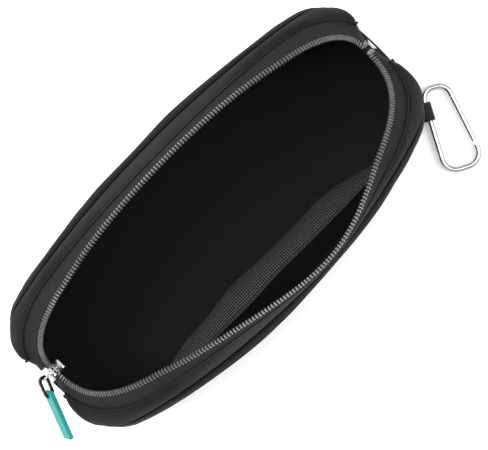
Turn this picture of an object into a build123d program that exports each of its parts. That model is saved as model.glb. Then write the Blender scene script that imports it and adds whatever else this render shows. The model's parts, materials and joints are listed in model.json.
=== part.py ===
from build123d import *
import os
from math import acos, asin, cos, degrees, exp, hypot, radians, sin, sqrt

os.makedirs("parts", exist_ok=True)

# An open cable pouch, standing on its base with the zip undone. Millimetres.
# X runs along the pouch, the front wall is at -Y, the zip line is at Y = 0 and the base is Z = 0.

# Body
body_length = 244.0
panel_height = 90.0
top_corner_radius = 45.0
base_corner_radius = 8.0
plan_corner_radius = 14.0
neoprene = 3.0
seam_gap = 0.4
band_tuck = 1.6
REAR, FRONT = 1, -1
end_reach = {REAR: 37.0, FRONT: 47.0}
belly = {REAR: 12.0, FRONT: 19.0}
base_belly_share = 0.25
belly_height_share = 0.6

# Mouth and zip
lip_reach = {REAR: 32.5, FRONT: 50.0}
front_lip_extra = 11.0
front_lip_peak = 30.0
front_lip_spread = 55.0
lip_rise = {REAR: 29.0, FRONT: 34.0}
mouth_end_inset = 5.0
mouth_fullness = 2.2
zip_end_angle = 80.0
tape_width = 11.0
tape_thickness = 1.0
coil_size = 2.2
stop_gap = 0.4
coil_gap = 1.2
lip_edge = -1e-6
stop_width = 6.5
stop_length = 3.0
stop_thickness = 1.2

# Slider and pull
slider_angle = 66.0
slider_length = 11.0
slider_width = 8.4
slider_plate = 1.3
slider_clearance = 1.4
room_above_share = 0.36
slider_post = 0.8
post_length = 1.4
bridge_gap = 2.3
bridge_wire = 1.1
bridge_length = 8.6
link_wire = 1.4
link_length = 13.0
link_side_play = 0.5
link_play = 0.55
link_roundness = 0.45
grip_length = 30.0
grip_width = 6.4
grip_thickness = 2.4
grip_hole_play = 0.5
grip_hole_from_end = 2.8
pull_side_angle = 24.0
pull_slope = 24.0

# Mesh pocket on the front wall
pocket_end_inset = 26.0
pocket_floor = 9.0
pocket_top_drop = 20.0
pocket_slack_floor = 5.0
pocket_slack_middle = 23.0
pocket_slack_top = 14.0
mesh_thickness = 1.0
pocket_gap = 1.0
hem_height = 7.0
hem_thickness = 2.0

# Webbing loop at the front right corner, and the carabiner in it
webbing_width = 10.0
webbing_thickness = 1.2
bar_diameter = 3.0
bar_clearance = 0.4
hook_turn = 241.4
hook_length = 47.0
hook_wide_end = 22.0
hook_narrow_end = 14.0
hook_narrow_corner = 6.4
hook_wide_corner = 8.0
loop_from_narrow_end = 12.0
loop_stand_off = 4.2
loop_shift = 6.0
gate_start = 7.0
gate_length = 26.0
gate_clearance = 0.35
gate_step = 0.1
tongue_length = 3.4
tongue_step = 0.4
tongue_thickness = 1.0
pin_diameter = 1.0
pin_clearance = 0.05
spring_diameter = 1.0
spring_length = 12.0
bartack_height = 0.4
bartack_width = 1.0
bartack_share = 0.8

# Where the lofts take their sections, as shares of each stretch
below_turn_stations = (0.82, 0.58, 0.3, 0)
top_stations = (-0.6, -0.2, 0.2, 0.6)
wall_levels = (0, 0.25, 0.6, 1)
pocket_levels = (0, 0.35, 0.7, 1)

# Sizes that follow from the ones above
# A section always stands where the inner face of the end begins, so the bands never cut that corner.
turn_share = degrees(asin((top_corner_radius - neoprene) / top_corner_radius)) / zip_end_angle
corner_stations = [1, (1 + turn_share) / 2, turn_share]
corner_stations += [turn_share * share for share in below_turn_stations]
half_length = body_length / 2
mouth_half_length = half_length - mouth_end_inset
pocket_half_length = half_length - pocket_end_inset
pocket_height = panel_height - pocket_top_drop
slider_room = coil_size + 2 * slider_clearance
bridge_height = link_wire + bridge_wire + bridge_gap
link_width = grip_thickness + 2 * (link_wire + link_side_play)
grip_hole = link_wire + 2 * grip_hole_play
gate_diameter = bar_diameter - 2 * gate_step
tongue_width = bar_diameter - 2 * tongue_step
flat_half = half_length - top_corner_radius
corner_centre_z = panel_height - top_corner_radius
stop_angle = degrees((stop_length + seam_gap) / top_corner_radius)


def finish(piece, label):
    """Names a finished piece and writes it as its own file."""
    piece.part.label = label
    export_step(piece.part, f"parts/{label}.step")


def wall_reach(side, x, share=1.0, inset=0.0):
    """Distance of the wall from the zip line at x; share is how much of the belly is there."""
    bow = belly[side] * share
    full = end_reach[side] + bow * (1 - (abs(x) / half_length) ** 2) - inset
    radius = plan_corner_radius - inset
    into_corner = abs(x) - (half_length - plan_corner_radius)
    if into_corner <= 0:
        return full
    return full - radius + sqrt(max(0.0, radius**2 - into_corner**2))


def mouth_opening(x):
    """0 at the two ends of the zip and 1 in the middle."""
    return sqrt(max(0.0, 1 - (abs(x) / mouth_half_length) ** mouth_fullness))


def lip(side, x):
    """The zip edge at x, as its distance from the zip line and its height over the body."""
    reach = lip_reach[side]
    if side == FRONT:
        reach += front_lip_extra * exp(-(((x - front_lip_peak) / front_lip_spread) ** 2))
    closed = (coil_size + stop_gap) / 2
    rise = lip_rise[side] * max(0.0, 1 - (x / mouth_half_length) ** 2)
    return max(closed, reach * mouth_opening(x)) + coil_size / 2, rise


def zip_path(end_angle):
    """Stations over the top of the body: x, z and the lean of the outward normal in degrees."""
    arc = [end_angle * share for share in corner_stations]
    stations = [station_at(angle, -1) for angle in arc]
    stations += [(flat_half * share, panel_height, 0.0) for share in top_stations]
    stations += [station_at(angle, 1) for angle in reversed(arc)]
    return stations


def station_at(angle, side):
    """A station on a top corner, side 1 at the right and -1 at the left; 0 degrees is on top."""
    x = side * (flat_half + top_corner_radius * sin(radians(angle)))
    return x, corner_centre_z + top_corner_radius * cos(radians(angle)), side * angle


def station_plane(x, z, angle):
    """Local x is +Y, local y is the outward normal, and local z runs along the zip towards +X."""
    along = (cos(radians(angle)), 0, -sin(radians(angle)))
    return Plane(origin=(x, 0, z), x_dir=(0, 1, 0), z_dir=along)


def across(side, x, from_tape_edge, to_tape_edge):
    """Two points and the inward direction on the straight line from the wall seam to the lip."""
    seam_y = wall_reach(side, x, inset=neoprene) - band_tuck
    lip_y, rise = lip(side, x)
    length = hypot(lip_y - seam_y, rise)
    dy, dn = (lip_y - seam_y) / length, rise / length
    points = []
    for edge in (from_tape_edge, to_tape_edge):
        reach = edge if edge >= 0 else length + edge
        points.append((side * (seam_y + dy * reach), dn * reach))
    return points, (-side * dn, dy)


def strip(label, side, start, stop, thickness, end_angle):
    """A band of cloth that follows the zip; negative distances are measured back from the lip."""
    with BuildPart() as piece:
        for station in zip_path(end_angle):
            (a, b), inward = across(side, station[0], start, stop)
            c, d = [(p[0] + inward[0] * thickness, p[1] + inward[1] * thickness) for p in (b, a)]
            with BuildSketch(station_plane(*station)):
                with BuildLine():
                    Polyline(a, b, c, d, close=True)
                make_face()
        loft(ruled=True)
    finish(piece, label)
    return piece


def side_profile(inset=0.0):
    """The body seen from the front, as a filled outline."""
    length, height = half_length - inset, panel_height - inset
    with BuildSketch(Plane.XZ) as profile:
        with BuildLine():
            Polyline((-length, inset), (length, inset), (length, height), (-length, height), close=True)
        make_face()
        fillet(profile.vertices().group_by(Axis.Y)[-1], top_corner_radius - inset)
        fillet(profile.vertices().group_by(Axis.Y)[0], base_corner_radius - inset)
    return profile.sketch


def plan_half(side, z, bow_share, inset):
    """Half of the plan from the turned-in ends outwards, as a filled outline at height z."""
    length = half_length - inset
    corner_y = side * (end_reach[side] - inset)
    middle_y = side * (end_reach[side] + belly[side] * bow_share - inset)
    turn_y = side * (end_reach[side] - plan_corner_radius)
    with BuildSketch(Plane.XY.offset(z)) as level:
        with BuildLine():
            Line((-length, turn_y), (-length, corner_y))
            ThreePointArc((-length, corner_y), (0, middle_y), (length, corner_y))
            Line((length, corner_y), (length, turn_y))
            Line((length, turn_y), (-length, turn_y))
        make_face()
        corners = [v for v in level.vertices() if abs(v.Y - corner_y) < plan_corner_radius / 2]
        fillet(corners, plan_corner_radius - inset)
    return level.sketch


def belly_share(z):
    """How much of the full belly the wall has at height z."""
    climb = sin(radians(90 * min(1.0, z / (belly_height_share * panel_height))))
    return base_belly_share + (1 - base_belly_share) * climb


# Face panels, bowed out and turned in at both ends
panel_levels = [panel_height * share for share in wall_levels]
for side, label in ((REAR, "rear_panel"), (FRONT, "front_panel")):
    with BuildPart() as panel:
        for inset, mode in ((0.0, Mode.ADD), (neoprene, Mode.SUBTRACT)):
            loft([plan_half(side, z, belly_share(z), inset) for z in panel_levels], mode=mode)
        extrude(side_profile(), amount=body_length, both=True, mode=Mode.INTERSECT)
    finish(panel, label)
front_panel = panel.part

# Base gusset: the floor and both ends up to the zip ends
zip_end_z = corner_centre_z + top_corner_radius * cos(radians(zip_end_angle))
end_height = zip_end_z - neoprene * cos(radians(zip_end_angle)) - seam_gap
turn_reach = {side: end_reach[side] - plan_corner_radius for side in (REAR, FRONT)}
gusset_reach = {side: turn_reach[side] - seam_gap for side in (REAR, FRONT)}
with BuildPart() as base_gusset:
    for side in (REAR, FRONT):
        floor = plan_half(side, 0, base_belly_share, neoprene + seam_gap)
        extrude(floor, amount=neoprene)
    for reach, height in ((gusset_reach, end_height), (turn_reach, neoprene)):
        with BuildSketch():
            with Locations((0, (reach[REAR] - reach[FRONT]) / 2)):
                Rectangle(body_length, reach[REAR] + reach[FRONT])
        extrude(amount=height)
    extrude(side_profile(), amount=body_length, both=True, mode=Mode.INTERSECT)
    with BuildSketch(Plane.XY.offset(neoprene)):
        Rectangle(body_length - 2 * neoprene, body_length)
    extrude(amount=panel_height, mode=Mode.SUBTRACT)
finish(base_gusset, "base_gusset")

# Top gusset halves, tapes and coils
for side, name in ((REAR, "rear"), (FRONT, "front")):
    strip(f"{name}_band", side, 0, -tape_width - seam_gap, neoprene, zip_end_angle)
    strip(f"zip_tape_{name}", side, -tape_width, -coil_size - coil_gap, tape_thickness, zip_end_angle)
    strip(f"zip_coil_{name}", side, -coil_size, lip_edge, coil_size, zip_end_angle - stop_angle)


def local_point(plane, y, out, along):
    """The place of a point given in a station's own directions."""
    return plane.from_local_coords((y, out, along))


# Zip end stops, one at each end of the chain
stop_mid_angle = zip_end_angle - stop_angle / 2
with BuildPart() as zip_end_stops:
    for side in (-1, 1):
        stop_plane = station_plane(*station_at(stop_mid_angle, side))
        centre = local_point(stop_plane, 0, stop_thickness / 2 + seam_gap, 0)
        with BuildSketch(Plane(origin=centre, x_dir=stop_plane.x_dir, z_dir=stop_plane.y_dir)):
            RectangleRounded(stop_width, stop_length, stop_length / 4)
        extrude(amount=stop_thickness / 2, both=True)
finish(zip_end_stops, "zip_end_stops")

# Slider: two plates round the chain, joined by a post, with the bridge on top
slide_plane = station_plane(*station_at(slider_angle, -1))
room_top = slider_room * room_above_share
room_bottom = room_top - slider_room
bridge_top = room_top + slider_plate + bridge_height
with BuildPart() as slider_body:
    for low in (room_top, room_bottom - slider_plate):
        centre = local_point(slide_plane, 0, low, 0)
        with BuildSketch(Plane(origin=centre, x_dir=slide_plane.x_dir, z_dir=slide_plane.y_dir)):
            RectangleRounded(slider_width, slider_length, slider_width / 4)
        extrude(amount=slider_plate)
    post_place = (slider_length - post_length) / 2
    with BuildSketch(
        Plane(
            origin=local_point(slide_plane, 0, room_bottom - slider_plate / 2, post_place),
            x_dir=slide_plane.x_dir, z_dir=slide_plane.y_dir,
        )
    ):
        RectangleRounded(slider_post, post_length, slider_post / 3)
    extrude(amount=slider_room + slider_plate)
    bridge_plane = Plane(
        origin=local_point(slide_plane, 0, room_top + slider_plate / 2, 0),
        x_dir=slide_plane.z_dir, z_dir=-slide_plane.x_dir,
    )
    with BuildSketch(bridge_plane):
        with Locations((0, slider_plate / 2)):
            from_plate = (Align.CENTER, Align.MIN)
            Rectangle(bridge_length, bridge_height, align=from_plate)
            hole = (bridge_length - 2 * bridge_wire, bridge_height - bridge_wire)
            Rectangle(*hole, align=from_plate, mode=Mode.SUBTRACT)
    extrude(amount=bridge_wire / 2, both=True)
finish(slider_body, "slider_body")

# Pull: a wire link through the bridge and a flat grip through the link
bridge_out = room_top + slider_plate + bridge_height - bridge_wire / 2
bridge_bar = local_point(slide_plane, 0, bridge_out, 0)
flat_share = cos(radians(pull_slope))
pull_way = Vector(
    -sin(radians(pull_side_angle)) * flat_share,
    -cos(radians(pull_side_angle)) * flat_share,
    -sin(radians(pull_slope)),
)
pull_face = (slide_plane.y_dir - pull_way * slide_plane.y_dir.dot(pull_way)).normalized()
link_centre = bridge_bar + pull_way * (link_length / 2 - link_wire - bridge_wire / 2 - link_play)
with BuildPart() as pull_link:
    with BuildSketch(Plane(origin=link_centre, x_dir=pull_way, z_dir=pull_way.cross(pull_face))):
        RectangleRounded(link_length, link_width, link_width * link_roundness)
        inner_width = link_width - 2 * link_wire
        inner_length = link_length - 2 * link_wire
        RectangleRounded(inner_length, inner_width, inner_width * link_roundness, mode=Mode.SUBTRACT)
    extrude(amount=link_wire / 2, both=True)
finish(pull_link, "pull_link")

grip_hole_place = link_centre + pull_way * (link_length - link_wire) / 2
grip_centre = grip_hole_place + pull_way * (grip_length / 2 - grip_hole_from_end)
with BuildPart() as pull_grip:
    with BuildSketch(Plane(origin=grip_centre, x_dir=pull_way, z_dir=pull_face)):
        RectangleRounded(grip_length, grip_width, grip_width / 4)
        with Locations((grip_hole_from_end - grip_length / 2, 0)):
            Circle(grip_hole / 2, mode=Mode.SUBTRACT)
    extrude(amount=grip_thickness / 2, both=True)
finish(pull_grip, "pull_grip")


def pocket_sheet(z, slack, thickness):
    """The pocket's outline at height z: its ends on the front wall, its middle standing off by slack."""
    share = belly_share(z)
    end_y = pocket_gap - wall_reach(FRONT, pocket_half_length, share, neoprene)
    middle_y = slack - wall_reach(FRONT, 0, share, neoprene)
    with BuildSketch(Plane.XY.offset(z)) as level:
        with BuildLine():
            far, near = pocket_half_length, pocket_half_length - thickness
            ThreePointArc((-far, end_y), (0, middle_y), (far, end_y))
            Line((far, end_y), (near, end_y + thickness))
            ThreePointArc((near, end_y + thickness), (0, middle_y + thickness), (-near, end_y + thickness))
            Line((-near, end_y + thickness), (-far, end_y))
        make_face()
    return level.sketch


# Mesh pocket and its elastic hem
pocket_rise = pocket_height - pocket_floor
pocket_sag = pocket_slack_middle - (pocket_slack_floor + pocket_slack_top) / 2


def pocket_slack(share):
    """How far the pocket's middle stands off the wall, at a share of the way up it."""
    straight = pocket_slack_floor + (pocket_slack_top - pocket_slack_floor) * share
    return straight + pocket_sag * sin(radians(180 * share))


with BuildPart() as mesh_pocket:
    loft([
        pocket_sheet(pocket_floor + pocket_rise * share, pocket_slack(share), mesh_thickness)
        for share in pocket_levels
    ])
finish(mesh_pocket, "mesh_pocket")

with BuildPart() as pocket_hem:
    extrude(pocket_sheet(pocket_height + seam_gap, pocket_slack_top, hem_thickness), amount=hem_height)
finish(pocket_hem, "pocket_hem")

# Carabiner, flat beside the front right corner. Its local x runs down the spine, y towards the gate.
corner_centre = Vector(half_length - plan_corner_radius, plan_corner_radius - end_reach[FRONT])
spine_way = Vector(cos(radians(hook_turn)), sin(radians(hook_turn)))
out_way = Vector(-spine_way.Y, spine_way.X)
loop_height = bar_diameter / 2 + bar_clearance + webbing_thickness
loop_reach = plan_corner_radius + loop_stand_off
loop_place = corner_centre + out_way * loop_reach + spine_way * loop_shift + Vector(0, 0, loop_height)
hook_plane = Plane(origin=loop_place, x_dir=spine_way, z_dir=(0, 0, 1))
narrow_x = -loop_from_narrow_end
wide_x = hook_length - loop_from_narrow_end
gate_rise = (hook_wide_end - hook_narrow_end) / hook_length
gate_angle = degrees(acos(1 / hypot(1, gate_rise)))


def gate_side(x):
    """The place on the gate's side of the hook, at x along the spine, in the hook's own directions."""
    return x, hook_narrow_end + (x - narrow_x) * gate_rise


hinge_x, hinge_y = gate_side(narrow_x + gate_start + gate_length)
hinge_place = hook_plane.from_local_coords((hinge_x, hinge_y, 0))
gate_way = (hook_plane.from_local_coords((*gate_side(narrow_x), 0)) - hinge_place).normalized()
gate_plane = Plane(origin=hinge_place, x_dir=gate_way, z_dir=(0, 0, 1))
with BuildPart() as hook_body:
    with BuildLine(hook_plane) as rail:
        FilletPolyline(
            (narrow_x, 0), (wide_x, 0), gate_side(wide_x), gate_side(narrow_x),
            radius=[hook_narrow_corner, hook_wide_corner, hook_wide_corner, hook_narrow_corner],
            close=True,
        )
    with BuildSketch(Plane(origin=hook_plane.origin, z_dir=spine_way)):
        Circle(bar_diameter / 2)
    sweep(path=rail.wire())
    with BuildSketch(gate_plane.offset(-bar_diameter)):
        with Locations(((gate_length - tongue_length) / 2, 0)):
            Rectangle(gate_length + tongue_length, 2 * bar_diameter)
    extrude(amount=2 * bar_diameter, mode=Mode.SUBTRACT)
    with BuildSketch(gate_plane.offset(-tongue_thickness / 2)):
        with Locations((-tongue_length, 0)):
            Rectangle(2 * tongue_length, tongue_width)
        Circle(tongue_width / 2)
        Circle(pin_diameter / 2 + pin_clearance, mode=Mode.SUBTRACT)
    extrude(amount=tongue_thickness)
finish(hook_body, "hook_body")

# Gate: a rod with a forked end on the tongue, a pin through both, and the spring in its bore
fork_end = -gate_diameter / 2
nose_end = gate_length - gate_clearance
with BuildPart() as hook_gate:
    with BuildSketch(Plane(origin=gate_plane.from_local_coords((fork_end, 0, 0)), z_dir=gate_way)):
        Circle(gate_diameter / 2)
    extrude(amount=nose_end - fork_end)
    slot_half = tongue_thickness / 2 + gate_clearance / 2
    with BuildSketch(gate_plane.offset(-slot_half)):
        with Locations((fork_end, 0)):
            Rectangle(2 * (tongue_width / 2 + gate_clearance - fork_end), 2 * gate_diameter)
    extrude(amount=2 * slot_half, mode=Mode.SUBTRACT)
    with BuildSketch(gate_plane.offset(-gate_diameter)):
        Circle(pin_diameter / 2)
    extrude(amount=2 * gate_diameter, mode=Mode.SUBTRACT)
    spring_start = tongue_width / 2 + gate_clearance
    spring_plane = Plane(origin=gate_plane.from_local_coords((spring_start, 0, 0)), z_dir=gate_way)
    with BuildSketch(spring_plane):
        Circle(spring_diameter / 2 + pin_clearance)
    extrude(amount=spring_length + pin_clearance, mode=Mode.SUBTRACT)
finish(hook_gate, "hook_gate")

with BuildPart() as gate_pin:
    with BuildSketch(gate_plane.offset(-gate_diameter / 2 + pin_clearance)):
        Circle(pin_diameter / 2)
    extrude(amount=gate_diameter - 2 * pin_clearance)
finish(gate_pin, "gate_pin")

with BuildPart() as gate_spring:
    with BuildSketch(spring_plane):
        Circle(spring_diameter / 2)
    extrude(amount=spring_length)
finish(gate_spring, "gate_spring")

# Webbing loop round the spine, its two tails sewn together and into the corner
hole_radius = bar_diameter / 2 + bar_clearance
loop_radius = hole_radius + webbing_thickness
loop_middle = -webbing_width / 2
tail_length = loop_stand_off + plan_corner_radius / 2
with BuildPart() as webbing_loop:
    profile_plane = Plane(
        origin=loop_place + spine_way * loop_middle, x_dir=out_way, z_dir=spine_way,
    )
    with BuildSketch(profile_plane):
        Circle(loop_radius)
        with Locations((-tail_length / 2, 0)):
            Rectangle(tail_length, 2 * webbing_thickness)
        Circle(hole_radius, mode=Mode.SUBTRACT)
    extrude(amount=webbing_width)
    with BuildSketch(Plane.XY.offset(-panel_height)):
        with Locations((corner_centre.X, corner_centre.Y)):
            Circle(plan_corner_radius + pin_clearance)
    extrude(amount=2 * panel_height, mode=Mode.SUBTRACT)
    with BuildSketch(Plane.XY.offset(-panel_height)):
        with Locations((0, -end_reach[FRONT] / 2)):
            Rectangle(2 * corner_centre.X, end_reach[FRONT])
    extrude(amount=2 * panel_height, mode=Mode.SUBTRACT)
    add(front_panel, mode=Mode.SUBTRACT)
finish(webbing_loop, "webbing_loop")

# Bar tack: the stitching that closes the loop, just inside the spine
with BuildPart() as loop_bartack:
    tail_top = loop_place + Vector(0, 0, webbing_thickness)
    with BuildSketch(Plane(origin=tail_top, x_dir=out_way, z_dir=(0, 0, 1))):
        with Locations((-loop_radius - bartack_width / 2, 0)):
            Rectangle(bartack_width, webbing_width * bartack_share)
    extrude(amount=bartack_height)
    add(front_panel, mode=Mode.SUBTRACT)
finish(loop_bartack, "loop_bartack")
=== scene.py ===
import json
import math

import bpy
from mathutils import Matrix, Vector, noise


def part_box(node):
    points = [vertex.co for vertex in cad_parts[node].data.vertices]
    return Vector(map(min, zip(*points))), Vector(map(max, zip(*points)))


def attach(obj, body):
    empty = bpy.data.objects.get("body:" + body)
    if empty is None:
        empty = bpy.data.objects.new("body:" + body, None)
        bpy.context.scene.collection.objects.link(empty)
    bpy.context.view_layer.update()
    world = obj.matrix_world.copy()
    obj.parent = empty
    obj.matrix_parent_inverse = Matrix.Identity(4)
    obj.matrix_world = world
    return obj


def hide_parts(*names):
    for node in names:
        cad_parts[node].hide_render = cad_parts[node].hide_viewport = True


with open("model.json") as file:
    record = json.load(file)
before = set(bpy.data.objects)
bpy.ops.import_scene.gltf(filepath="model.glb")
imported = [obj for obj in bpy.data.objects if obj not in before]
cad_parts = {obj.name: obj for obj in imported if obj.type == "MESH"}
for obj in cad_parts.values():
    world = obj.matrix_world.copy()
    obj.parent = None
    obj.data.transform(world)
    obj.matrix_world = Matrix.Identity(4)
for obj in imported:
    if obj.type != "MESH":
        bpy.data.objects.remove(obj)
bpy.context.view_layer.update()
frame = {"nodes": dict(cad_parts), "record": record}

MM = 0.001

# The pouch's sizes, read from the frame. The front is -Y and the zip line is at Y = 0.
REAR, FRONT = 1, -1
front_low, front_high = (Vector(c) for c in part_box("front_panel"))
rear_high = Vector(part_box("rear_panel")[1])
half_length = front_high.x
height = front_high.z
belly_reach = {REAR: rear_high.y, FRONT: -front_low.y}
end_reach = {REAR: 37 * MM, FRONT: 47 * MM}
top_radius = 45 * MM
base_radius = 9 * MM
edge_radius = 13 * MM
neoprene = 2.6 * MM
mouth_half = 117 * MM
mouth_fullness = 2.2
lip_top = {REAR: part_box("zip_coil_rear")[1][2] - height, FRONT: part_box("zip_coil_front")[1][2] - height}
lip_reach = {REAR: 32.5 * MM, FRONT: 50 * MM}
front_swell, swell_peak, swell_spread = 11 * MM, 30 * MM, 55 * MM
zip_end_angle = math.radians(80)
corner_x = half_length - top_radius
corner_z = height - top_radius
tape_width = 10.5 * MM
tooth_pitch = 1.9 * MM


# Shader maths as expressions
class Value:
    """A socket that takes part in sums; every operator adds one Math node."""

    def __init__(self, tree, socket):
        self.tree, self.socket = tree, socket

    def _math(self, operation, *others, clamp=False):
        node = self.tree.nodes.new("ShaderNodeMath")
        node.operation = operation
        node.use_clamp = clamp
        for slot, other in zip(node.inputs, (self, *others)):
            plug(self.tree, slot, other)
        return Value(self.tree, node.outputs[0])

    def __add__(self, other):
        return self._math("ADD", other)

    def __sub__(self, other):
        return self._math("SUBTRACT", other)

    def __rsub__(self, other):
        return (self * -1) + other

    def __mul__(self, other):
        return self._math("MULTIPLY", other)

    def __pow__(self, other):
        return self._math("POWER", other)

    __radd__ = __add__
    __rmul__ = __mul__

    def sine(self):
        return self._math("SINE")

    def size(self):
        return self._math("ABSOLUTE")

    def above(self, other):
        return self._math("GREATER_THAN", other)

    def within(self):
        return self._math("ADD", 0.0, clamp=True)


def plug(tree, slot, value):
    """Gives a socket a link or a plain value."""
    if isinstance(value, Value):
        value = value.socket
    if isinstance(value, bpy.types.NodeSocket):
        tree.links.new(value, slot)
    else:
        slot.default_value = value


class Finish:
    """A procedural material with one Principled shader."""

    def __init__(self, name, **shader):
        self.material = bpy.data.materials.new(name)
        self.material.use_nodes = True
        self.tree = self.material.node_tree
        self.shader = self.tree.nodes["Principled BSDF"]
        self.coords = self.add("ShaderNodeTexCoord")
        for socket, value in shader.items():
            self.shader.inputs[socket.replace("_", " ")].default_value = value

    def add(self, kind, settings=(), **sockets):
        node = self.tree.nodes.new(kind)
        for key, value in dict(settings).items():
            setattr(node, key, value)
        for socket, value in sockets.items():
            plug(self.tree, node.inputs[socket.replace("_", " ")], value)
        return node

    def value(self, socket):
        return Value(self.tree, socket)

    def place(self, source="Object"):
        """The three parts of a coordinate, in metres for Object and in the piece's own units for UV."""
        parts = self.add("ShaderNodeSeparateXYZ", Vector=self.coords.outputs[source])
        return [self.value(parts.outputs[k]) for k in range(3)]

    def clouds(self, scale, detail=4.0, roughness=0.6, source="Object"):
        node = self.add(
            "ShaderNodeTexNoise", Vector=self.coords.outputs[source],
            Scale=scale, Detail=detail, Roughness=roughness,
        )
        return self.value(node.outputs["Fac"])

    def mix(self, factor, first, second):
        node = self.add("ShaderNodeMix", {"data_type": "RGBA"})
        plug(self.tree, node.inputs[0], factor)
        for slot, colour in ((6, first), (7, second)):
            plug(self.tree, node.inputs[slot], (*colour, 1) if isinstance(colour, tuple) else colour)
        return node.outputs[2]

    def set(self, **sockets):
        for socket, value in sockets.items():
            plug(self.tree, self.shader.inputs[socket.replace("_", " ")], value)

    def bump(self, height, distance, strength=1.0):
        node = self.add("ShaderNodeBump", Height=height, Distance=distance, Strength=strength)
        self.set(Normal=node.outputs["Normal"])


def neoprene_finish():
    """Charcoal jersey laminated on foam: a fine knit, soft clouding and a little lint."""
    m = Finish("neoprene", Specular_IOR_Level=0.10)
    clouds = m.clouds(22.0)
    lint = m.clouds(900.0, detail=2.0)
    x, y, z = m.place()
    knit = ((x + y) * 5200.0).sine() * ((z + y * 0.6) * 5200.0).sine()
    tone = (clouds * 0.7 + lint * 0.3).within()
    colour = m.mix(tone, (0.0018, 0.0022, 0.0024), (0.0072, 0.0084, 0.0088))
    m.set(Base_Color=colour, Roughness=0.66 + clouds * 0.2)
    m.bump(knit * 0.35 + lint * 0.5 + clouds * 0.8, 0.00018)
    return m.material


def twill_finish(name, dark, light, ribs):
    """Narrow woven tape; UV runs across and along it in millimetres."""
    m = Finish(name, Specular_IOR_Level=0.12)
    across, along, _ = m.place("UV")
    warp = ((across + along) * ribs).sine()
    weft = ((across - along * 0.5) * ribs * 1.7).sine()
    speck = m.clouds(1500.0, detail=1.0)
    weave = (warp * 0.5 + 0.5) * 0.6 + (weft * 0.5 + 0.5) * 0.2 + speck * 0.35
    m.set(Base_Color=m.mix(weave.within() ** 1.6, dark, light), Roughness=0.78 + speck * 0.15)
    m.bump(weave, 0.00022)
    return m.material


def coil_finish():
    """Polyester coil, dark with a waxy shine on the tooth heads."""
    m = Finish("coil", Specular_IOR_Level=0.6)
    worn = m.clouds(320.0)
    colour = m.mix(worn, (0.018, 0.018, 0.019), (0.085, 0.085, 0.088))
    m.set(Base_Color=colour, Roughness=0.18 + worn * 0.22)
    m.bump(worn, 0.00005)
    return m.material


def metal_finish(name, dark, light, roughness, grain=260.0):
    """Plated or polished metal with handling marks."""
    m = Finish(name, Metallic=1.0)
    marks = m.clouds(grain, detail=6.0, roughness=0.7)
    scratches = m.add(
        "ShaderNodeTexNoise", Vector=m.add(
            "ShaderNodeMapping", Vector=m.coords.outputs["Object"], Scale=(40.0, 900.0, 900.0),
        ).outputs["Vector"], Scale=1.0, Detail=3.0,
    )
    fine = m.value(scratches.outputs["Fac"])
    m.set(Base_Color=m.mix(marks, dark, light), Roughness=roughness + marks * 0.12 + fine * 0.06)
    m.bump(fine * 0.4 + marks * 0.6, 0.00002)
    return m.material


def rubber_finish():
    """Teal moulded rubber with a satin skin."""
    m = Finish("teal_rubber", Specular_IOR_Level=0.4, Coat_Roughness=0.5)
    clouds = m.clouds(90.0)
    grain = m.clouds(2600.0, detail=1.0)
    colour = m.mix(clouds, (0.0, 0.150, 0.138), (0.0, 0.235, 0.215))
    m.set(Base_Color=colour, Roughness=0.42 + clouds * 0.18)
    m.bump(grain + clouds * 0.4, 0.00004)
    return m.material


def net_finish():
    """Open knitted net: staggered oval holes, with bars of yarn between them."""
    m = Finish("net", Specular_IOR_Level=0.4)
    across, along, _ = m.place("UV")
    turn = 2 * math.pi / 2.6
    holes = (across * turn).sine() * (along * turn * 0.62).sine()
    open_part = holes.size().above(0.34)
    yarn = m.clouds(1800.0, detail=1.0)
    m.set(Base_Color=m.mix(yarn, (0.016, 0.016, 0.017), (0.075, 0.075, 0.078)), Roughness=0.6 + yarn * 0.2)
    m.set(Alpha=1 - open_part)
    m.bump(yarn - holes.size(), 0.0002)
    return m.material


finishes = {
    "neoprene": neoprene_finish(),
    "tape": twill_finish("tape", (0.003, 0.003, 0.003), (0.024, 0.023, 0.021), 5.2),
    "coil": coil_finish(),
    "nickel": metal_finish("nickel", (0.24, 0.24, 0.245), (0.48, 0.48, 0.485), 0.12),
    "mesh": net_finish(),
    "elastic": twill_finish("elastic", (0.006, 0.006, 0.006), (0.030, 0.030, 0.030), 3.4),
    "webbing": twill_finish("webbing", (0.006, 0.006, 0.007), (0.035, 0.035, 0.037), 6.5),
    "thread": twill_finish("thread", (0.01, 0.01, 0.01), (0.06, 0.06, 0.06), 12.0),
    "dark_metal": metal_finish("dark_metal", (0.03, 0.03, 0.033), (0.07, 0.07, 0.075), 0.28),
    "teal_rubber": rubber_finish(),
    "hook_aluminium": metal_finish("hook_aluminium", (0.26, 0.265, 0.275), (0.50, 0.505, 0.515), 0.16),
    "pin_steel": metal_finish("pin_steel", (0.4, 0.4, 0.41), (0.6, 0.6, 0.61), 0.25),
}


# The shape of the cloth
def reach_at(side, x, z):
    """Distance of a face panel from the zip line."""
    climb = math.sin(math.radians(90) * min(1.0, z / (0.6 * height)))
    bow = (belly_reach[side] - end_reach[side]) * (0.25 + 0.75 * climb)
    return end_reach[side] + bow * (1 - (abs(x) / half_length) ** 2)


def mouth_opening(x):
    return math.sqrt(max(0.0, 1 - (abs(x) / mouth_half) ** mouth_fullness))


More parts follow.
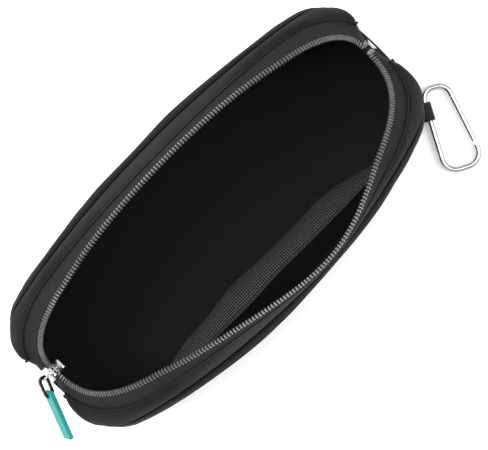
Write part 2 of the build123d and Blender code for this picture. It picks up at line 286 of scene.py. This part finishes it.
def station(distance):
    """A point of the body's top edge seen from the front, by its share of the way from left to right.

    Gives the point and the outward normal.
    """
    arc = zip_end_angle * top_radius
    total = 2 * arc + 2 * corner_x
    along = distance * total
    if along < arc or along > total - arc:
        left = along < arc
        angle = zip_end_angle * (1 - (along if left else total - along) / arc)
        sign = -1 if left else 1
        x = sign * (corner_x + top_radius * math.sin(angle))
        normal = Vector((sign * math.sin(angle), 0, math.cos(angle)))
        return Vector((x, 0, corner_z + top_radius * math.cos(angle))), normal
    return Vector((along - arc - corner_x, 0, height)), Vector((0, 0, 1))


def lip_point(side, x):
    """How far the zip edge is from the zip line, and how high it stands over the body."""
    reach = lip_reach[side]
    if side == FRONT:
        reach += front_swell * math.exp(-(((x - swell_peak) / swell_spread) ** 2))
    rise = (lip_top[side] - 0.2 * MM) * max(0.0, 1 - (x / mouth_half) ** 2)
    return max(1.4 * MM, reach * mouth_opening(x)) + 1.0 * MM, rise


def corner_drop(x):
    """How much the plan's rounded corner takes off the wall's reach at x."""
    into = max(0.0, abs(x) - (half_length - edge_radius))
    return edge_radius - math.sqrt(max(0.0, edge_radius**2 - into**2))


def seam_point(side, x):
    """The seam between face panel and top band: distance from the zip line."""
    return reach_at(side, x, height) - corner_drop(x) * 0.8 - 3.4 * MM


def band_point(side, distance, across):
    """A point of the top cloth: across is 0 at the wall seam, in metres, up to the lip."""
    base, normal = station(distance)
    seam_y = seam_point(side, base.x)
    lip_y, rise = lip_point(side, base.x)
    run = Vector((lip_y - seam_y, rise))
    length = run.length
    share = across / length if across >= 0 else 1 + across / length
    share = max(0.0, min(1.0, share))
    way = run / length
    out = Vector((way.y, -way.x))
    closed = 1 - mouth_opening(base.x)
    from_end = min(distance, 1 - distance) * 2 * (zip_end_angle * top_radius + corner_x)
    sewn_down = math.sin(math.pi / 2 * min(1.0, from_end / (12 * MM)))
    puff = (1.6 * MM + 6.5 * MM * closed) * 4 * share * (1 - share) * (1.15 - share * 0.5) * sewn_down
    y = seam_y + run.x * share + out.x * puff
    n = rise * share + out.y * puff
    return base + normal * n + Vector((0, side * y, 0)), length


def deselect():
    bpy.ops.object.select_all(action="DESELECT")


def grid_piece(name, columns, rows, place, uv_size=(1.0, 1.0)):
    """A grid, added and then laid over a surface: place(u, v) gives the point for u and v from 0 to 1."""
    deselect()
    bpy.ops.mesh.primitive_grid_add(x_subdivisions=columns, y_subdivisions=rows, size=1, calc_uvs=True)
    piece = bpy.context.object
    piece.name = piece.data.name = name
    shares = [(v.co.x + 0.5, v.co.y + 0.5) for v in piece.data.vertices]
    layer = piece.data.uv_layers.active.data
    for loop in piece.data.loops:
        u, v = shares[loop.vertex_index]
        layer[loop.index].uv = (u * uv_size[0], v * uv_size[1])
    for vertex, (u, v) in zip(piece.data.vertices, shares):
        vertex.co = place(u, v)
    return piece


def face_out(piece, away_from):
    """Turns a sheet's faces so that they point away from a place."""
    mesh = piece.data
    total = sum((f.center - away_from).dot(f.normal) * f.area for f in mesh.polygons)
    if total < 0:
        mesh.flip_normals()


def give_wall(piece, thickness, bevel=0.0):
    """Thickens a sheet inwards and rounds its cut edges."""
    deselect()
    piece.select_set(True)
    bpy.context.view_layer.objects.active = piece
    wall = piece.modifiers.new("wall", "SOLIDIFY")
    wall.thickness = thickness
    wall.offset = -1
    wall.use_even_offset = False
    bpy.ops.object.modifier_apply(modifier=wall.name)
    if bevel:
        edge = piece.modifiers.new("edge", "BEVEL")
        edge.width = bevel
        edge.segments = 2
        edge.limit_method = "ANGLE"
        edge.angle_limit = math.radians(50)
        bpy.ops.object.modifier_apply(modifier=edge.name)
    bpy.ops.object.shade_smooth_by_angle(angle=math.radians(50))


def dress(piece, finish, body, *nodes):
    """Gives a piece its material, its body and the CAD nodes that it stands for."""
    piece.data.materials.clear()
    piece.data.materials.append(finishes[finish])
    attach(piece, body)
    if nodes:
        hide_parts(*nodes)


def run_of(points):
    """The length of a line through some points."""
    return sum((Vector(b) - Vector(a)).length for a, b in zip(points, points[1:]))


def wrinkle(point, size, depth, seed):
    """A soft unevenness in cloth, the same on every run."""
    return depth * noise.noise(Vector(point) / size + Vector((seed, seed * 0.37, 0)))


# Face panels: pillowed sheets inside a rounded outline
def panel_outline(u, v):
    """Lays the unit square on the panel's outline, u along X and v up."""
    p, q = 2 * u - 1, 2 * v - 1
    half_x = half_length - 2.4 * MM
    half_z = height / 2 - 0.8 * MM
    x, z = p * half_x, q * half_z
    edge = max(abs(p), abs(q))
    radius = (top_radius if q > 0 else base_radius) - 1.2 * MM
    reach = 1.0
    if edge > 0:
        dx, dz = abs(x) / edge, abs(z) / edge
        cx, cz = half_x - radius, half_z - radius
        if dx > cx and dz > cz:
            a = dx * dx + dz * dz
            b = -2 * (dx * cx + dz * cz)
            c = cx * cx + cz * cz - radius * radius
            reach = (-b + math.sqrt(max(0.0, b * b - 4 * a * c))) / (2 * a)
    k = 1 + (reach - 1) * edge**2
    return x * k, height / 2 + z * k, edge


def face_panel(side, name, node):
    def place(u, v):
        x, z, edge = panel_outline(u, v)
        rim = max(0.0, edge - 0.80) / 0.20
        drop = (1 - math.sqrt(max(0.0, 1 - min(1.0, rim * 0.97) ** 2))) * 4.2 * MM
        end_turn = max(0.0, (abs(x) - (half_length - edge_radius * 1.3)) / (edge_radius * 1.3))
        drop += (1 - math.sqrt(max(0.0, 1 - min(1.0, end_turn) ** 2))) * edge_radius * 0.75
        y = reach_at(side, x, z) + 0.6 * MM - drop
        calm = 1 - rim if rim < 1 else 0
        y += wrinkle((x, z, 0), 0.055, 1.7 * MM, side + 3.1) * calm
        y += wrinkle((x, z * 2.0, 0), 0.022, 0.5 * MM, side + 7.7) * calm
        y -= 0.55 * MM * math.exp(-(((edge - 0.90) / 0.012) ** 2))
        return Vector((x, side * y, z))

    piece = grid_piece(name, 200, 96, place, (244, 90))
    face_out(piece, Vector((0, 0, height / 2)))
    give_wall(piece, neoprene, 0.5 * MM)
    dress(piece, "neoprene", "root", node)


face_panel(REAR, "rear_wall", "rear_panel")
face_panel(FRONT, "front_wall", "front_panel")


# Base gusset: down one end, under the body and up the other end
under_bands = math.radians(4)


def gusset_path(share):
    """A point and outward normal on the lower edge of the body, from left zip end to right zip end."""
    arc_top = top_radius * (math.pi / 2 - zip_end_angle + under_bands)
    side_run = corner_z - base_radius
    arc_low = base_radius * math.pi / 2
    base_run = 2 * (half_length - base_radius)
    total = 2 * (arc_top + side_run + arc_low) + base_run
    along = share * total
    left = along <= total / 2
    way = along if left else total - along
    sign = -1 if left else 1
    if way < arc_top:
        angle = zip_end_angle - under_bands + way / top_radius
        point = (corner_x + top_radius * math.sin(angle), corner_z + top_radius * math.cos(angle))
        normal = (math.sin(angle), math.cos(angle))
    elif way < arc_top + side_run:
        point, normal = (half_length, corner_z - (way - arc_top)), (1, 0)
    elif way < arc_top + side_run + arc_low:
        angle = (way - arc_top - side_run) / base_radius
        point = (
            half_length - base_radius + base_radius * math.cos(angle),
            base_radius - base_radius * math.sin(angle),
        )
        normal = (math.cos(angle), -math.sin(angle))
    else:
        point, normal = (half_length - base_radius - (way - arc_top - side_run - arc_low), 0), (0, -1)
    return Vector((sign * point[0], 0, point[1])), Vector((sign * normal[0], 0, normal[1]))


def base_piece():
    def place(u, v):
        point, normal = gusset_path(u)
        q = 2 * v - 1
        side = REAR if q > 0 else FRONT
        upright = abs(normal.x)
        reach = reach_at(side, point.x, point.z) - (2.2 + 2.6 * upright) * MM
        rim = max(0.0, abs(q) - 0.72) / 0.28
        drop = (1 - math.sqrt(max(0.0, 1 - (rim * 0.95) ** 2))) * (2.0 + 3.0 * upright) * MM
        puff = 1.8 * MM * upright * (1 - q * q)
        seam_z = corner_z + top_radius * math.cos(zip_end_angle)
        tucked = max(0.0, min(1.0, (point.z - seam_z + 5 * MM) / (5 * MM)))
        puff -= (puff + 2.6 * MM) * tucked
        soft = wrinkle((point.x, q * 0.04, point.z), 0.03, 0.8 * MM, 5.5) * upright * (1 - q * q)
        laid = point + normal * (puff + soft - drop) + Vector((0, side * reach * abs(q), 0))
        laid.z = max(laid.z, 0.0)
        return laid

    piece = grid_piece("base_gusset_cloth", 170, 30, place, (340, 85))
    face_out(piece, Vector((0, 0, height / 2)))
    give_wall(piece, neoprene, 0.5 * MM)
    dress(piece, "neoprene", "root", "base_gusset")


base_piece()


# Top bands, tapes and coils
tuck_share = 0.12


def band_piece(side, name, node):
    def place(u, v):
        _, length = band_point(side, u, 0)
        past_seam = (v - tuck_share) / (1 - tuck_share)
        point, _ = band_point(side, u, max(0.0, past_seam) * (length - tape_width))
        if past_seam < 0:
            point += station(u)[1] * past_seam / tuck_share * 9 * MM
            return point
        calm = 4 * past_seam * (1 - past_seam)
        point += station(u)[1] * wrinkle(point, 0.026, 1.5 * MM, side + 11.3) * calm
        groove = sum(math.exp(-(((past_seam - at) / 0.03) ** 2)) for at in (0.10, 0.90))
        point -= station(u)[1] * 0.6 * MM * groove
        return point + station(u)[1] * 0.7 * MM * math.exp(-(((1 - v) / 0.06) ** 2))

    piece = grid_piece(name, 190, 26, place, (300, 26))
    face_out(piece, Vector((0, 0, height / 2)))
    give_wall(piece, neoprene, 0.9 * MM)
    dress(piece, "neoprene", "root", node)


tape_outer, tape_inner = tape_width + 0.4 * MM, 0.5 * MM


def tape_piece(side, name, node):
    def place(u, v):
        across = -tape_outer * (1 - v) - tape_inner * v
        point, _ = band_point(side, u, across)
        _, normal = station(u)
        fold = math.exp(-(((v - 0.80) / 0.07) ** 2)) * 0.5 * MM
        return point + normal * (fold - 0.9 * MM * (1 - v))

    piece = grid_piece(name, 260, 14, place, (300, 10.5))
    face_out(piece, Vector((0, 0, height / 2)))
    give_wall(piece, 0.7 * MM)
    dress(piece, "tape", "root", node)
    run = run_of([place(k / 200, 0.5) for k in range(201)])


for side, word in ((REAR, "rear"), (FRONT, "front")):
    band_piece(side, f"{word}_band_cloth", f"{word}_band")
    tape_piece(side, f"{word}_tape_cloth", f"zip_tape_{word}")


def tooth_template():
    """One turn of the coil: a rounded bar that wraps the tape's edge."""
    deselect()
    bpy.ops.mesh.primitive_cube_add(size=1)
    tooth = bpy.context.object
    bpy.ops.object.mode_set(mode="EDIT")
    bpy.ops.transform.resize(value=(1.15 * MM, 2.9 * MM, 1.9 * MM))
    bpy.ops.mesh.bevel(offset=0.42 * MM, segments=2, affect="EDGES")
    bpy.ops.object.mode_set(mode="OBJECT")
    return tooth


def coil_piece(side, name, node):
    tooth = tooth_template()
    shape = [v.co.copy() for v in tooth.data.vertices]
    faces = [tuple(f.vertices) for f in tooth.data.polygons]
    bpy.data.objects.remove(tooth)
    points, polygons = [], []
    samples = [band_point(side, k / 600, -0.3 * MM)[0] for k in range(601)]
    lengths = [0.0]
    for a, b in zip(samples, samples[1:]):
        lengths.append(lengths[-1] + (b - a).length)
    start, stop = 5.0 * MM, lengths[-1] - 5.0 * MM
    count = int((stop - start) / tooth_pitch)
    k = 0
    for n in range(count):
        target = start + (n + (0.5 if side == REAR else 0.0)) * tooth_pitch
        while lengths[k + 1] < target:
            k += 1
        share = (target - lengths[k]) / (lengths[k + 1] - lengths[k])
        at = samples[k].lerp(samples[k + 1], share)
        along = (samples[k + 1] - samples[k]).normalized()
        inner = band_point(side, (k + share) / 600, -3.5 * MM)[0]
        across = (at - inner)
        across = (across - along * across.dot(along)).normalized()
        up = along.cross(across)
        turn = Matrix((along, across, up)).transposed()
        first = len(points)
        points += [at + turn @ v for v in shape]
        polygons += [tuple(first + i for i in face) for face in faces]
    mesh = bpy.data.meshes.new(name)
    mesh.from_pydata(points, [], polygons)
    piece = bpy.data.objects.new(name, mesh)
    bpy.context.scene.collection.objects.link(piece)
    deselect()
    piece.select_set(True)
    bpy.context.view_layer.objects.active = piece
    bpy.ops.object.mode_set(mode="EDIT")
    bpy.ops.mesh.select_all(action="SELECT")
    bpy.ops.mesh.normals_make_consistent(inside=False)
    bpy.ops.object.mode_set(mode="OBJECT")
    bpy.ops.object.shade_smooth_by_angle(angle=math.radians(40))
    dress(piece, "coil", "root", node)


coil_piece(REAR, "rear_coil_teeth", "zip_coil_rear")
coil_piece(FRONT, "front_coil_teeth", "zip_coil_front")


# Mesh pocket and its elastic hem, on the inside of the front wall
pocket_low, pocket_high = (Vector(c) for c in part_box("mesh_pocket"))
hem_low, hem_high = (Vector(c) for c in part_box("pocket_hem"))
pocket_half = pocket_high.x


def pocket_point(x, z):
    """A point of the pocket's cloth: its ends are on the wall and its middle hangs away from it."""
    up = (z - pocket_low.z) / (pocket_high.z - pocket_low.z)
    wall = reach_at(FRONT, x, z) - neoprene - 1.6 * MM
    sag = math.sin(math.pi * max(0.0, min(1.0, up)))
    slack = (5 + 9 * up + 15 * sag) * MM * (1 - (abs(x) / pocket_half) ** 2.4)
    ripple = 1.1 * MM * math.sin(x / (9 * MM)) * (1 - up) ** 2
    ripple += wrinkle((x, z, 0.4), 0.03, 1.4 * MM, 21.0)
    return Vector((x, -(wall - slack + ripple), z))


def pocket_pieces():
    bag_size = (2 * pocket_half, pocket_high.z - pocket_low.z)

    def bag(u, v):
        return pocket_point((2 * u - 1) * pocket_half, pocket_low.z + v * bag_size[1])

    net = grid_piece("pocket_net", 150, 50, bag, (bag_size[0] / MM, bag_size[1] / MM))
    face_out(net, Vector((0, -1, 0)))
    bpy.ops.object.shade_smooth()
    dress(net, "mesh", "root", "mesh_pocket")

    def hem(u, v):
        x = (2 * u - 1) * pocket_half
        z = hem_low.z - 1.0 * MM + v * (hem_high.z - hem_low.z)
        gather = 0.25 * MM * math.sin(x / (0.45 * MM)) * math.sin(math.pi * v)
        point = pocket_point(x, min(z, pocket_high.z))
        point.z = z
        point.y += gather + 0.4 * MM
        return point

    band = grid_piece("pocket_hem_elastic", 900, 8, hem, (bag_size[0] / MM, 7))
    face_out(band, Vector((0, -1, 0)))
    give_wall(band, 1.3 * MM)
    dress(band, "elastic", "root", "pocket_hem")
    steps = [k / 100 for k in range(101)]
    flat = (run_of([bag(k, 0.5) for k in steps]), run_of([bag(0.5, k) for k in steps]))


pocket_pieces()


# Webbing loop round the carabiner's spine, and the bar tack across its tails
spine_way = Vector((-0.4787, -0.8780, 0.0))
out_way = Vector((0.8780, -0.4787, 0.0))
loop_place = Vector((121.107, -46.980, 3.1)) * MM


def webbing_path(share):
    """A point of the webbing's outer face: out along the lower tail, round the spine and back above it."""
    radius, tail, tail_top = 3.0 * MM, 6.4 * MM, 1.1 * MM
    meet = math.pi - math.asin(tail_top / radius)
    straight, round_part = tail + radius * math.cos(meet), 2 * meet * radius
    along = share * (2 * straight + round_part)
    low = along < straight
    if low or along > straight + round_part:
        way = along if low else 2 * straight + round_part - along
        return -tail + way, (-1 if low else 1) * tail_top
    angle = -meet + (along - straight) / radius
    return radius * math.cos(angle), radius * math.sin(angle)


def webbing_pieces():
    width = 10.0 * MM

    def place(u, v):
        out, up = webbing_path(u)
        rib = 0.10 * MM * math.cos(2 * math.pi * v * 7)
        size = math.hypot(out, up)
        lift = rib if size < 3.4 * MM else 0.0
        push = 1 + lift / size
        return loop_place + out_way * out * push + Vector((0, 0, up * push)) + spine_way * (v - 0.5) * width

    web = grid_piece("webbing_tab", 90, 42, place, (25, 10))
    face_out(web, loop_place)
    give_wall(web, 1.0 * MM, 0.2 * MM)
    dress(web, "webbing", "root", "webbing_loop")
    run = run_of([webbing_path(k / 100) for k in range(101)])

    def stitch(u, v):
        swing = math.sin(u * math.pi * 22)
        ahead = (-3.2 - 0.9 * (v - 0.5) + 0.35 * swing) * MM
        up = (1.25 + 0.22 * math.cos(math.pi * (v - 0.5))) * MM
        return loop_place + out_way * ahead + spine_way * (u - 0.5) * 8 * MM + Vector((0, 0, up))

    tack = grid_piece("bar_tack", 180, 6, stitch, (8, 1))
    face_out(tack, loop_place)
    give_wall(tack, 0.3 * MM)
    dress(tack, "thread", "root", "loop_bartack")


webbing_pieces()


# Pull grip: a solid of rubber moulded over the link's end, with softened edges
pull_way = Vector((-0.37157, -0.83456, -0.40674)).normalized()


def grip_piece():
    low, high = (Vector(c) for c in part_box("pull_grip"))
    middle = (low + high) / 2
    deselect()
    bpy.ops.mesh.primitive_cube_add(size=1)
    grip = bpy.context.object
    grip.name = grip.data.name = "pull_grip_rubber"
    bpy.ops.object.mode_set(mode="EDIT")
    bpy.ops.mesh.subdivide(number_cuts=15)
    bpy.ops.transform.resize(value=(29.6 * MM, 6.4 * MM, 2.5 * MM))
    bpy.ops.object.mode_set(mode="OBJECT")
    edge = grip.modifiers.new("edge", "BEVEL")
    edge.width = 0.55 * MM
    edge.segments = 3
    edge.limit_method = "ANGLE"
    edge.angle_limit = math.radians(50)
    bpy.ops.object.modifier_apply(modifier=edge.name)
    normal = Vector((-0.913545, 0, 0.406737))
    face = (normal - pull_way * normal.dot(pull_way)).normalized()
    broad = face.cross(pull_way)
    for vertex in grip.data.vertices:
        x, w, t = vertex.co
        share = x / (29.6 * MM) + 0.5
        w *= 1 - 0.10 * math.exp(-((share / 0.12) ** 2))
        t *= 1 + 0.10 * math.exp(-(((share - 0.12) / 0.10) ** 2))
        vertex.co = middle + pull_way * x + broad * w + face * t
    deselect()
    grip.select_set(True)
    bpy.context.view_layer.objects.active = grip
    bpy.ops.object.shade_smooth_by_angle(angle=math.radians(50))
    dress(grip, "teal_rubber", "pull", "pull_grip")


grip_piece()


# CAD nodes whose shape is right keep it and get a finish
slots = {part["node"]: part["material_slot"] for part in frame["record"]["subparts"]}
for name, node in frame["nodes"].items():
    finish = finishes[slots[name]]
    if node.data.materials:
        for index in range(len(node.data.materials)):
            node.data.materials[index] = finish
    else:
        node.data.materials.append(finish)


# Floor, light and camera
def stage():
    deselect()
    bpy.ops.mesh.primitive_plane_add(size=4)
    floor = bpy.context.object
    floor.name = "floor"
    paper = Finish("paper", Roughness=0.9)
    shade = paper.clouds(3.0)
    paper.set(Base_Color=paper.mix(shade, (0.90, 0.90, 0.90), (0.94, 0.94, 0.94)))
    floor.data.materials.append(paper.material)
    world = bpy.data.worlds.new("studio")
    world.use_nodes = True
    world.node_tree.nodes["Background"].inputs[0].default_value = (1, 1, 1, 1)
    world.node_tree.nodes["Background"].inputs[1].default_value = 0.85
    bpy.context.scene.world = world
    lamps = (
        ("key", (-0.55, 0.55, 1.1), 0.7, 22),
        ("fill", (0.7, -0.5, 0.9), 0.9, 10),
        ("top", (0.05, 0.1, 1.3), 0.5, 7),
    )
    for name, spot, size, power in lamps:
        bpy.ops.object.light_add(type="AREA", location=spot)
        lamp = bpy.context.object
        lamp.name = name
        lamp.data.size = size
        lamp.data.energy = power
        lamp.rotation_euler = (Vector((0, 0, 0.05)) - Vector(spot)).to_track_quat("-Z", "Y").to_euler()


stage()
bpy.context.scene.view_settings.view_transform = "Standard"

view_distance = 1.5
view_tilt = 0.0
view_roll = math.radians(45.7)
looked_at = Vector((6.9 * MM, -18.3 * MM, 60 * MM))
back = Vector((0, math.sin(view_tilt), math.cos(view_tilt)))
bpy.ops.object.camera_add(location=looked_at + back * view_distance)
camera = bpy.context.object
camera.data.sensor_width = 36
camera.data.lens = 36 * view_distance / (488 / 1.9 * MM)
up = Vector((math.sin(view_roll), math.cos(view_roll), 0))
forward = -back
right = forward.cross(up).normalized()
up = right.cross(forward)
camera.rotation_euler = Matrix((right, up, back)).transposed().to_euler()
bpy.context.scene.camera = camera
